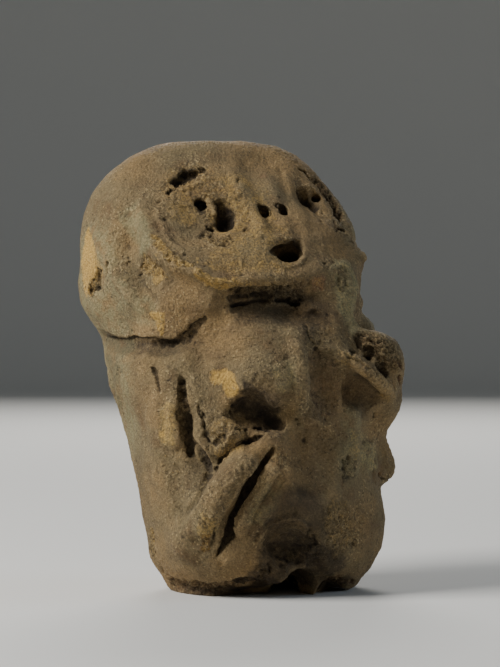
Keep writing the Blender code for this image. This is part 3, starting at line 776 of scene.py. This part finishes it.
clay.tear([(266, 562), (272, 574)], 6.0, 1.8)
clay.work([(222, 562), (246, 560)], 18, -1.0, ragged=0.5)
clay.stain([(170, 584), (196, 590), (222, 588), (248, 584), (268, 584)], 24, fade=0.1, torn=1.0, red=0.8)
clay.stain([(326, 582), (338, 586), (352, 584)], 24, torn=1.0, red=0.9)
clay.work([(156, 590), (190, 598), (230, 596), (268, 590)], 40, 2.4)
clay.work([(322, 592), (350, 592)], 26, 2.0)
# The front edge undercut, with painted shade under it
clay.work(
    [(212, 603, 14), (234, 601, 26), (254, 598, 34), (272, 594, 38), (287, 588, 36)],
    30, 6.5, fade=0, soot=0.9,
)
clay.work([(326, 590, 30), (344, 594, 20), (356, 596, 12)], 24, 4.0, fade=0, soot=0.8)
clay.work([(286, 580), (300, 562), (316, 566), (326, 586)], 18, 1.6, soot=0.8)
clay.write()

# Painted shade along the underside of the base's edge
clay.stain(
    [(200, 592, 8), (226, 590, 14), (250, 588, 22), (272, 583, 26)], 20, ragged=1.0, fade=0, soot=1.0
)
clay.stain([(178, 588), (206, 594), (244, 593), (276, 587)], 14, ragged=1.0, soot=0.6)


# The back and the sides
# Plainer than the front: long wet-finger wipes down the back, thumb marks where the coils were pressed
# together, a dark cloud from the hearth, and chips where the figure has knocked against things.

for across in (196, 222, 250, 278, 304):
    clay.tear([(across, 372), (across + 4, 430), (across - 3, 500)], 30, 0.7, side=BACK, wiped=1.0)
for x, y in [(206, 352), (236, 358), (268, 356), (298, 348)]:
    clay.tear([(x, y), (x + 10, y + 14)], 26, 1.3, side=BACK)
clay.tear([(180, 240), (226, 262), (290, 258), (330, 236)], 30, 0.8, side=BACK, wiped=1.0)
clay.stain([(290, 210), (230, 330), (280, 440)], 150, side=BACK, film=0.8, fade=0)
clay.stain([(236, 190)], 90, side=BACK, soot=0.5)
clay.stain([(300, 470), (286, 520)], 80, side=BACK, soot=0.4)
clay.tear([(322, 300), (330, 312)], 16, 0.7, side=BACK, ochre=0.9, torn=0.7, ragged=1.4)
clay.tear([(196, 548), (206, 556)], 18, 1.2, side=BACK, ochre=0.5, torn=0.9, ragged=1.4)
clay.tear([(262, 300), (268, 318), (266, 336)], 3.0, 1.4, side=BACK)
clay.tear([(216, 574), (250, 580), (290, 578)], 16, 0.4, side=BACK, torn=0.8, ragged=1.4)
for x, y in [(214, 366), (238, 372), (262, 368)]:
    clay.tear([(x, y), (x - 6, y + 46)], 28, 1.0, side=RIGHT_SIDE, wiped=1.0)
clay.stain([(230, 260), (240, 420)], 120, side=RIGHT_SIDE, film=0.7, fade=0)
clay.tear([(200, 226), (232, 208), (266, 214)], 40, 0.7, side=RIGHT_SIDE, wiped=1.0)
clay.stain([(212, 452), (224, 500)], 56, side=RIGHT_SIDE, soot=0.35)
clay.tear([(196, 556), (214, 566)], 16, 1.0, side=RIGHT_SIDE, ochre=0.6, torn=0.9, ragged=1.4)
clay.tear([(232, 284), (240, 288)], 8, 0.9, side=RIGHT_SIDE, torn=0.8, ragged=1.4)
for x, y in [(262, 372), (288, 380), (312, 376)]:
    clay.tear([(x, y), (x - 4, y + 70)], 32, 1.1, side=LEFT_SIDE, wiped=1.0)
clay.stain([(300, 240), (290, 400)], 120, side=LEFT_SIDE, film=0.7, fade=0)
clay.tear([(256, 230), (290, 214), (322, 232)], 44, 0.9, side=LEFT_SIDE, wiped=1.0)
clay.stain([(300, 300), (308, 320)], 60, side=LEFT_SIDE, soot=0.4)
clay.tear([(268, 342), (300, 350), (330, 342)], 14, 1.4, side=LEFT_SIDE, torn=0.4)
clay.tear([(276, 520), (284, 536)], 20, 0.8, side=LEFT_SIDE, ochre=0.7, torn=0.8, ragged=1.4)
clay.tear([(324, 262), (330, 268)], 10, 0.9, side=LEFT_SIDE, ochre=0.9, torn=0.6, ragged=1.4)
clay.tear([(250, 470), (256, 482)], 5, 1.3, side=LEFT_SIDE)
clay.write()


# The grain of the clay
# Coarse temper, burnt-out straw and wet fingers left the skin uneven: kneaded lumps, sandy grain, pits, and
# fine lines where it was wiped. Where it tore or broke, the grain stands open.

# How far across each part of the grain is, and how deep. A patch has no depth of its own: its second
# value says how much it changes the grain's.
GRAIN_SIZES = {
    "Knead": (15 * MM, 3.0 * MM),
    "Patch": (16 * MM, 3.0),
    "Grain": (2.0 * MM, 1.6 * MM),
    "Tear": (5.0 * MM, 8.0 * MM),
    "Clod": (2.6 * MM, 1.8 * MM),
    "Pit": (5.0 * MM, 0.5 * MM),
    "Wipe": (1.5 * MM, 1.0 * MM),
}
# How many finer sizes each noise holds, how rough it is, and how far it is bent
GRAIN_NOISES = {
    "Knead": (1.0, 0.5, 0.0),
    "Patch": (2.0, 0.5, 0.0),
    "Grain": (3.0, 0.65, 0.0),
    "Tear": (4.0, 0.62, 0.6),
}
GRAIN_SEED = 3.0
PLAIN_GRAIN = 0.8
TORN_GRAIN = 1.2
CLOD_STIR = 0.8
# Shares of a pit's own size: the least reach, and how much more the widest has
PIT_REACH = 0.07
PIT_SPREAD = 0.20
PIT_BIAS = 3.0
PIT_WALL = 1.6
# A cell's chance from 0 to 1 is raised by the first in torn clay, and it has a pit past the second
PIT_TORN_CHANCE = 0.2
PIT_CHANCE = 0.75
# How many times a metre a wiped line changes along its length
WIPE_CHANGES = 45.0
SOLE_FADE = 2.5 * MM
PIECE_TRIANGLES = 196000
HOLLOW_REACH = 7 * MM
LEVEL_PASSES = 18


def add_node(tree, kind, inputs=(), **settings):
    """Adds a node with its settings, and sets or links its inputs.

    Inputs holds values in the inputs' order, or a dictionary of values by the inputs' names or numbers. A
    value may be another node's output, or the node itself for the first of its outputs that is in use.
    """
    made = tree.nodes.new(kind)
    for name, value in settings.items():
        setattr(made, name, value)
    for socket, value in inputs.items() if isinstance(inputs, dict) else enumerate(inputs):
        if isinstance(value, bpy.types.Node):
            value = next(output for output in value.outputs if output.enabled)
        if isinstance(value, bpy.types.NodeSocket):
            tree.links.new(value, made.inputs[socket])
        else:
            made.inputs[socket].default_value = value
    return made


def grain_tree():
    """The tree that moves the skin in and out, and stores how deep in a pit each point lies."""
    tree = bpy.data.node_groups.new("clay_grain", "GeometryNodeTree")
    face = tree.interface
    face.new_socket("Geometry", in_out="INPUT", socket_type="NodeSocketGeometry")
    for name in GRAIN_SIZES:
        face.new_socket(name + " Size", in_out="INPUT", socket_type="NodeSocketFloat")
        face.new_socket(name + " Depth", in_out="INPUT", socket_type="NodeSocketFloat")
    face.new_socket("Seed", in_out="INPUT", socket_type="NodeSocketFloat")
    face.new_socket("Material", in_out="INPUT", socket_type="NodeSocketMaterial")
    face.new_socket("Geometry", in_out="OUTPUT", socket_type="NodeSocketGeometry")
    given = add_node(tree, "NodeGroupInput").outputs
    place = add_node(tree, "GeometryNodeInputPosition")
    torn, wiped, wipe = (
        add_node(tree, "GeometryNodeInputNamedAttribute", {"Name": name}, data_type="FLOAT")
        for name in ("torn", "wiped", "wipe")
    )

    # Noises that swell the skin and sink it
    swell = {}
    for name, (detail, roughness, bend) in GRAIN_NOISES.items():
        scale = add_node(tree, "ShaderNodeMath", [1.0, given[name + " Size"]], operation="DIVIDE")
        inputs = {"Vector": place, "W": given["Seed"], "Scale": scale}
        inputs.update({"Detail": detail, "Roughness": roughness, "Distortion": bend})
        noise = add_node(tree, "ShaderNodeTexNoise", inputs, noise_dimensions="4D")
        swell[name] = add_node(tree, "ShaderNodeMath", [noise, 0.5], operation="SUBTRACT")
    knead = add_node(tree, "ShaderNodeMath", [swell["Knead"], given["Knead Depth"]], operation="MULTIPLY")
    inputs = [swell["Patch"], given["Patch Depth"], PLAIN_GRAIN]
    coarse = add_node(tree, "ShaderNodeMath", inputs, operation="MULTIPLY_ADD")
    coarse = add_node(tree, "ShaderNodeMath", [torn, TORN_GRAIN, coarse], operation="MULTIPLY_ADD")
    grain = add_node(tree, "ShaderNodeMath", [swell["Grain"], given["Grain Depth"]], operation="MULTIPLY")
    grain = add_node(tree, "ShaderNodeMath", [grain, coarse], operation="MULTIPLY")

    # Crags and clods where the clay is torn
    scale = add_node(tree, "ShaderNodeMath", [CLOD_STIR, given["Clod Size"]], operation="DIVIDE")
    stir = add_node(tree, "ShaderNodeTexNoise", {"Vector": place, "Scale": scale, "Detail": 2.0})
    inputs = {0: stir.outputs["Color"], "Scale": given["Clod Size"]}
    stir = add_node(tree, "ShaderNodeVectorMath", inputs, operation="SCALE")
    stirred = add_node(tree, "ShaderNodeVectorMath", [place, stir], operation="ADD")
    scale = add_node(tree, "ShaderNodeMath", [1.0, given["Clod Size"]], operation="DIVIDE")
    clods = add_node(tree, "ShaderNodeTexVoronoi", {"Vector": stirred, "Scale": scale})
    crags = add_node(tree, "ShaderNodeMath", [swell["Tear"]], operation="ABSOLUTE")
    inwards = add_node(tree, "ShaderNodeMath", [torn, -1.0], operation="MULTIPLY")
    breaks = []
    for name, rough in (("Tear", crags), ("Clod", clods)):
        rough = add_node(tree, "ShaderNodeMath", [rough, given[name + " Depth"]], operation="MULTIPLY")
        breaks.append(add_node(tree, "ShaderNodeMath", [rough, inwards], operation="MULTIPLY"))

    # Round pits, one in some of the cells, most of them small
    scale = add_node(tree, "ShaderNodeMath", [1.0, given["Pit Size"]], operation="DIVIDE")
    cells = add_node(tree, "ShaderNodeTexVoronoi", {"Vector": place, "Scale": scale})
    chance = add_node(tree, "FunctionNodeSeparateColor", [cells.outputs["Color"]]).outputs
    reach = add_node(tree, "ShaderNodeMath", [chance[0], PIT_BIAS], operation="POWER")
    reach = add_node(tree, "ShaderNodeMath", [reach, PIT_SPREAD, PIT_REACH], operation="MULTIPLY_ADD")
    inside = add_node(tree, "ShaderNodeMath", [cells, reach], operation="DIVIDE")
    inside = add_node(tree, "ShaderNodeMath", [1.0, inside], operation="SUBTRACT")
    inside = add_node(tree, "ShaderNodeMath", [inside, 0.0], operation="MAXIMUM")
    there = add_node(tree, "ShaderNodeMath", [torn, PIT_TORN_CHANCE, chance[1]], operation="MULTIPLY_ADD")
    there = add_node(tree, "ShaderNodeMath", [there, PIT_CHANCE], operation="GREATER_THAN")
    pit = add_node(tree, "ShaderNodeMath", [inside, there], operation="MULTIPLY")
    pit = add_node(tree, "ShaderNodeMath", [pit, PIT_WALL], operation="MULTIPLY")
    pit = add_node(tree, "ShaderNodeMath", [pit, 1.0], operation="MINIMUM")
    pit_depth = add_node(tree, "ShaderNodeMath", [pit, given["Pit Depth"]], operation="MULTIPLY")

    # Fine lines that run along each wipe
    across = add_node(tree, "ShaderNodeMath", [wipe, given["Wipe Size"]], operation="DIVIDE")
    slow = add_node(tree, "ShaderNodeVectorMath", [place, (WIPE_CHANGES,) * 3], operation="MULTIPLY")
    inputs = {"Vector": slow, "W": across, "Scale": 1.0, "Detail": 2.0}
    lines = add_node(tree, "ShaderNodeTexNoise", inputs, noise_dimensions="4D")
    lines = add_node(tree, "ShaderNodeMath", [lines, 0.5], operation="SUBTRACT")
    line_depth = add_node(tree, "ShaderNodeMath", [given["Wipe Depth"], wiped], operation="MULTIPLY")
    lines = add_node(tree, "ShaderNodeMath", [lines, line_depth], operation="MULTIPLY")

    # All of it together, dying out towards the sole
    skin = add_node(tree, "ShaderNodeMath", [knead, grain], operation="ADD")
    rough = add_node(tree, "ShaderNodeMath", breaks, operation="ADD")
    rough = add_node(tree, "ShaderNodeMath", [rough, lines], operation="ADD")
    out = add_node(tree, "ShaderNodeMath", [skin, rough], operation="ADD")
    out = add_node(tree, "ShaderNodeMath", [out, pit_depth], operation="SUBTRACT")
    height = add_node(tree, "ShaderNodeSeparateXYZ", [place]).outputs["Z"]
    above_sole = add_node(tree, "ShaderNodeMath", [height, 1 / SOLE_FADE], operation="MULTIPLY")
    above_sole = add_node(tree, "ShaderNodeMath", [above_sole, 1.0], operation="MINIMUM")
    out = add_node(tree, "ShaderNodeMath", [out, above_sole], operation="MULTIPLY")
    way = add_node(tree, "GeometryNodeInputNormal")
    shift = add_node(tree, "ShaderNodeVectorMath", {0: way, "Scale": out}, operation="SCALE")
    inputs = {"Geometry": given["Geometry"], "Name": "pit", "Value": pit}
    stored = add_node(tree, "GeometryNodeStoreNamedAttribute", inputs, data_type="FLOAT", domain="POINT")
    moved = add_node(tree, "GeometryNodeSetPosition", {"Geometry": stored, "Offset": shift})
    real = add_node(tree, "GeometryNodeRealizeInstances", {"Geometry": moved})
    inputs = {"Geometry": real, "Material": given["Material"]}
    done = add_node(tree, "GeometryNodeSetMaterial", inputs)
    add_node(tree, "NodeGroupOutput", {"Geometry": done})
    return tree


# The figure's finish
# Low-fired terracotta, unglazed and matt: brown to greyish clay, ochre where it is chipped, a red tinge in
# the breaks, soot from the fire in places, and a thin grey-green film on the head, the belly, the sides and
# the back. Shade is painted into the pits, creases and hollows and, with the soot, under overhangs and in
# holes;
# the ochre and the film also paint light onto a few places that lie in shade.

CLAY = "8e744c"
CLAY_GREY = "7c6c4c"
CLAY_BROWN = "6f5738"
OCHRE_AND_LIGHT = "c09a52"
RED = "80573f"
SOOT_AND_SHADE = "231a12"
FILM_AND_LIGHT = "8f8c68"
GRIME_AND_SHADE = "2f251c"
WORN = "a58d64"
PALE = "bda678"
# How far across each pattern is, how many finer sizes it holds, and how rough it is. The sand, the pores and
# the grains are drawn coarser than in real clay of this kind, so that they show.
PATTERNS = {
    "grey": (26 * MM, 2.0, 0.55),
    "brown": (13 * MM, 4.0, 0.55),
    "patch": (16 * MM, 2.0, 0.55),
    "blotch": (5 * MM, 4.0, 0.6),
    "sand": (0.9 * MM, 2.0, 0.7),
    "pore": (1.5 * MM, 2.0, 0.6),
    "grain": (1.2 * MM, 1.0, 0.55),
    "skin": (1.2 * MM, 4.0, 0.7),
    "crumb": (2.0 * MM, 5.0, 0.75),
}
SKIN_RELIEF = 2.0 * MM
SKIN_STRENGTH = 0.9
CRUMB_RELIEF = 3.0 * MM
LINE_GAP = 0.7 * MM
LINE_RELIEF = 0.7 * MM
FRAY_BY_SAND = 0.7
PATCH_MIDDLE = 0.55
PATCH_COARSENESS = 0.4
TORN_COARSENESS = 0.14
CLAY_SPECULAR = 0.35


def linear(code):
    """An sRGB hex colour as the linear colour that a shader takes."""
    shares = [int(code[i : i + 2], 16) / 255 for i in (0, 2, 4)]
    return (*[c / 12.92 if c <= 0.04045 else ((c + 0.055) / 1.055) ** 2.4 for c in shares], 1.0)


def terracotta():
    """Low-fired earthenware: dull, sandy, blotched by the fire, light on worn edges, with shade painted into
    its pits, creases and hollows.
    """
    made = bpy.data.materials.new("low_fired_terracotta")
    made.use_nodes = True
    tree = made.node_tree
    tree.nodes.clear()
    place = add_node(tree, "ShaderNodeTexCoord").outputs["Object"]
    pattern = {}
    for name, (size, detail, roughness) in PATTERNS.items():
        inputs = {"Vector": place, "Scale": 1 / size, "Detail": detail, "Roughness": roughness}
        pattern[name] = add_node(tree, "ShaderNodeTexNoise", inputs)
    layer = {}
    for name in (*FINISHES, "pit", "deep", "hollow"):
        layer[name] = add_node(tree, "ShaderNodeAttribute", attribute_name=name).outputs["Fac"]

    # Blotches and sand fray a finish's edge, and pores and grains are denser in torn and coarse patches
    blotched = add_node(tree, "ShaderNodeMath", [pattern["blotch"], 0.5], operation="SUBTRACT")
    sanded = add_node(tree, "ShaderNodeMath", [pattern["sand"], 0.5], operation="SUBTRACT")
    sanded = add_node(tree, "ShaderNodeMath", [sanded, FRAY_BY_SAND], operation="MULTIPLY")
    fray = add_node(tree, "ShaderNodeMath", [blotched, sanded], operation="ADD")
    red = add_node(tree, "ShaderNodeMath", [fray, layer["red"]], operation="ADD")
    ochre = add_node(tree, "ShaderNodeMath", [fray, layer["ochre"]], operation="ADD")
    coarse = add_node(tree, "ShaderNodeMath", [pattern["patch"], PATCH_MIDDLE], operation="SUBTRACT")
    coarse = add_node(tree, "ShaderNodeMath", [coarse, PATCH_COARSENESS], operation="MULTIPLY")
    inputs = [layer["torn"], TORN_COARSENESS, coarse]
    coarse = add_node(tree, "ShaderNodeMath", inputs, operation="MULTIPLY_ADD")
    pores = add_node(tree, "ShaderNodeMath", [pattern["pore"], coarse], operation="SUBTRACT")
    grains = add_node(tree, "ShaderNodeMath", [pattern["grain"], coarse], operation="ADD")

    # As its pattern or layer goes from the first number to the second, a mask goes from the third to the last
    spans = {
        "grey": (pattern["grey"], 0.35, 0.65, 0.0, 1.0),
        "brown": (pattern["brown"], 0.45, 0.75, 0.0, 1.0),
        "film": (pattern["blotch"], 0.3, 0.6, 0.0, 1.0),
        "red": (red, 0.1, 0.95, 0.0, 1.0),
        "ochre": (ochre, 0.1, 0.95, 0.0, 1.0),
        "edges": (layer["deep"], -0.08, -0.5, 0.0, 1.0),
        "pores": (pores, 0.44, 0.32, 0.0, 1.0),
        "grains": (grains, 0.6, 0.74, 0.0, 1.0),
        "hollows": (layer["hollow"], 1.2, 4.2, 0.0, 1.0),
        "creases": (layer["deep"], 0.05, 0.6, 0.0, 1.0),
        "smoke_and_shade": (pattern["blotch"], 0.25, 0.75, 0.65, 1.0),
        "specks": (pattern["sand"], 0.35, 0.65, 0.8, 1.2),
        "dullness": (layer["torn"], 0.0, 1.0, 0.8, 0.95),
    }
    mask = {}
    for name, span in spans.items():
        mask[name] = add_node(tree, "ShaderNodeMapRange", span, interpolation_type="SMOOTHSTEP")
    film = add_node(tree, "ShaderNodeMath", [layer["film"], mask["film"]], operation="MULTIPLY")
    # The soot layer: real soot in places, and painted shade under the chin and the breast, in holes, grooves
    # and creases, and under the base's edge
    smoke_and_shade = add_node(tree, "ShaderNodeMath", [layer["soot"], mask["smoke_and_shade"]], operation="MULTIPLY")

    # Each coat over the bare clay, with the mask that it lies in and how strong it is
    coats = [
        (CLAY_GREY, mask["grey"], 1.0),
        (CLAY_BROWN, mask["brown"], 0.8),
        # The film and the ochre: real colours in most places, and painted light in a few that lie in shade
        (FILM_AND_LIGHT, film, 0.7),
        (RED, mask["red"], 0.6),
        (OCHRE_AND_LIGHT, mask["ochre"], 0.95),
        (WORN, mask["edges"], 0.45),
        (WORN, layer["torn"], 0.35),
        # Painted shade in the pits, darker the deeper a point lies in one; the pores below are dark specks of
        # the clay itself
        (GRIME_AND_SHADE, layer["pit"], 0.6),
        (GRIME_AND_SHADE, mask["pores"], 0.48),
        (PALE, mask["grains"], 0.5),
        # Painted shade in the wider hollows and in the creases, darker the deeper they lie
        (GRIME_AND_SHADE, mask["hollows"], 0.6),
        (GRIME_AND_SHADE, mask["creases"], 0.6),
        # Soot, and the painted shade laid with it
        (SOOT_AND_SHADE, smoke_and_shade, 0.92),
    ]
    colour = linear(CLAY)
    for code, where, strength in coats:
        share = add_node(tree, "ShaderNodeMath", [where, strength], operation="MULTIPLY")
        colour = add_node(tree, "ShaderNodeMix", {0: share, 6: colour, 7: linear(code)}, data_type="RGBA")
    inputs = {0: 1.0, 6: colour, 7: mask["specks"]}
    colour = add_node(tree, "ShaderNodeMix", inputs, data_type="RGBA", blend_type="MULTIPLY")

    # Relief too fine for the mesh: sandy skin, lines along the wipes, and crumbs where the clay is torn
    inputs = {"Height": pattern["skin"], "Distance": SKIN_RELIEF, "Strength": SKIN_STRENGTH}
    relief = add_node(tree, "ShaderNodeBump", inputs)
    across = add_node(tree, "ShaderNodeMath", [layer["wipe"], LINE_GAP], operation="DIVIDE")
    inputs = {"Vector": place, "W": across, "Scale": 1.0}
    lines = add_node(tree, "ShaderNodeTexNoise", inputs, noise_dimensions="4D")
    lines = add_node(tree, "ShaderNodeMath", [lines, layer["wiped"]], operation="MULTIPLY")
    relief = add_node(tree, "ShaderNodeBump", {"Height": lines, "Distance": LINE_RELIEF, "Normal": relief})
    crumbs = add_node(tree, "ShaderNodeMath", [pattern["crumb"], layer["torn"]], operation="MULTIPLY")
    inputs = {"Height": crumbs, "Distance": CRUMB_RELIEF, "Normal": relief}
    relief = add_node(tree, "ShaderNodeBump", inputs)
    inputs = {"Base Color": colour, "Roughness": mask["dullness"], "Normal": relief}
    inputs["Specular IOR Level"] = CLAY_SPECULAR
    shader = add_node(tree, "ShaderNodeBsdfPrincipled", inputs)
    add_node(tree, "ShaderNodeOutputMaterial", {"Surface": shader})
    return made


def store(mesh, name, values):
    """Stores one number for each point of a mesh."""
    layer = mesh.attributes.get(name) or mesh.attributes.new(name, "FLOAT", "POINT")
    layer.data.foreach_set("value", values.astype(np.float32))


for name, values in clay.finish.items():
    store(clay.mesh, name, values)
skin = bpy.data.objects.new("skin", clay.mesh)
bpy.context.scene.collection.objects.link(skin)
grain = skin.modifiers.new("grain", "NODES")
grain.node_group = grain_tree()
sizes = {"Seed": GRAIN_SEED, "Material": terracotta()}
for name, (across, depth) in GRAIN_SIZES.items():
    sizes[name + " Size"] = across
    sizes[name + " Depth"] = depth
for socket in grain.node_group.interface.items_tree:
    if socket.in_out == "INPUT" and socket.name in sizes:
        grain[socket.identifier] = sizes[socket.name]
graph = bpy.context.evaluated_depsgraph_get()
grained = bpy.data.meshes.new_from_object(
    skin.evaluated_get(graph), preserve_all_data_layers=True, depsgraph=graph
)
bpy.data.objects.remove(skin)

points = read(grained.vertices, "co", 3)
ways = read(grained.vertex_normals, "vector", 3)
# How deep each point lies in a crease and in a wider hollow; the material paints shade there from these
level = soften(points, edges_of(grained), LEVEL_PASSES, np.ones(len(points)))
store(grained, "deep", np.einsum("ij,ij->i", level - points, ways) / MM)
store(grained, "hollow", sunken(points, ways, HOLLOW_REACH) / MM)

ratio = PIECE_TRIANGLES / (2 * len(grained.polygons))
fired = shaped(grained, ("TRIANGULATE", {}), ("DECIMATE", {"ratio": ratio}))
corners = read(fired.vertices, "co", 3)
corners[:, 2] = np.maximum(corners[:, 2], 0)
fired.vertices.foreach_set("co", corners.astype(np.float32).ravel())
fired.shade_smooth()
figure = bpy.data.objects.new("terracotta_figure", fired)
bpy.context.scene.collection.objects.link(figure)
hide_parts("figure")
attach(figure, "root")


# The studio
# A plain pale floor that sweeps up into a backdrop all round, a large soft light from the upper left of the
# camera, a weak one from the other side, and a third behind for the edges and the back.

FLOOR_RADIUS = 2.6
SWEEP_RADIUS = 1.2
WALL_HEIGHT = 1.6
SWEEP_STEPS = 12
FLOOR_SIDES = 96
FLOOR_COLOUR = "d2cfc8"
FLOOR_ROUGHNESS = 0.9
FIGURE_MIDDLE = Vector((0, 0, 0.1))
# How far round each light stands from the photograph's side, its distance, height, size, watts and colour
LIGHTS = {
    "key_light": (-67, 1.1, 1.0, 0.65, 30, "ffffff"),
    "fill_light": (92, 1.7, 0.6, 0.9, 8.5, "d8eaff"),
    "back_light": (180, 1.7, 1.1, 0.8, 22, "ffffff"),
}
SKY_COLOUR = "c4dcee"
SKY_STRENGTH = 0.07

profile = [(0.0, 0.0), (FLOOR_RADIUS, 0.0)]
for step in range(1, SWEEP_STEPS + 1):
    turn = math.radians(90 * step / SWEEP_STEPS)
    profile.append((FLOOR_RADIUS + SWEEP_RADIUS * math.sin(turn), SWEEP_RADIUS * (1 - math.cos(turn))))
profile.append((FLOOR_RADIUS + SWEEP_RADIUS, WALL_HEIGHT))
bowl = bmesh.new()
rim = [bowl.verts.new((x, 0, z)) for x, z in profile]
lines = [bowl.edges.new(pair) for pair in zip(rim, rim[1:])]
bmesh.ops.spin(
    bowl,
    geom=rim + lines,
    cent=(0, 0, 0),
    axis=(0, 0, 1),
    angle=2 * math.pi,
    steps=FLOOR_SIDES,
    use_merge=True,
)
bmesh.ops.remove_doubles(bowl, verts=bowl.verts, dist=MM)
bmesh.ops.recalc_face_normals(bowl, faces=bowl.faces)
bmesh.ops.reverse_faces(bowl, faces=bowl.faces)
floor_mesh = bpy.data.meshes.new("floor")
bowl.to_mesh(floor_mesh)
bowl.free()
floor_mesh.shade_smooth()
floor = bpy.data.objects.new("floor", floor_mesh)
bpy.context.scene.collection.objects.link(floor)
paper = bpy.data.materials.new("pale_paper")
paper.use_nodes = True
paper_shader = paper.node_tree.nodes["Principled BSDF"]
paper_shader.inputs["Base Color"].default_value = linear(FLOOR_COLOUR)
paper_shader.inputs["Roughness"].default_value = FLOOR_ROUGHNESS
floor_mesh.materials.append(paper)

for name, (turn, distance, height, size, watts, colour) in LIGHTS.items():
    lamp = bpy.data.lights.new(name, "AREA")
    lamp.size = size
    lamp.energy = watts
    lamp.color = linear(colour)[:3]
    holder = bpy.data.objects.new(name, lamp)
    holder.visible_camera = False
    outwards = side_ways(PHOTO_SIDE + turn)[1]
    aimed(holder, outwards * distance + Vector((0, 0, height)), FIGURE_MIDDLE)
sky = bpy.data.worlds.new("studio")
sky.use_nodes = True
sky.node_tree.nodes["Background"].inputs["Color"].default_value = linear(SKY_COLOUR)
sky.node_tree.nodes["Background"].inputs["Strength"].default_value = SKY_STRENGTH
bpy.context.scene.world = sky
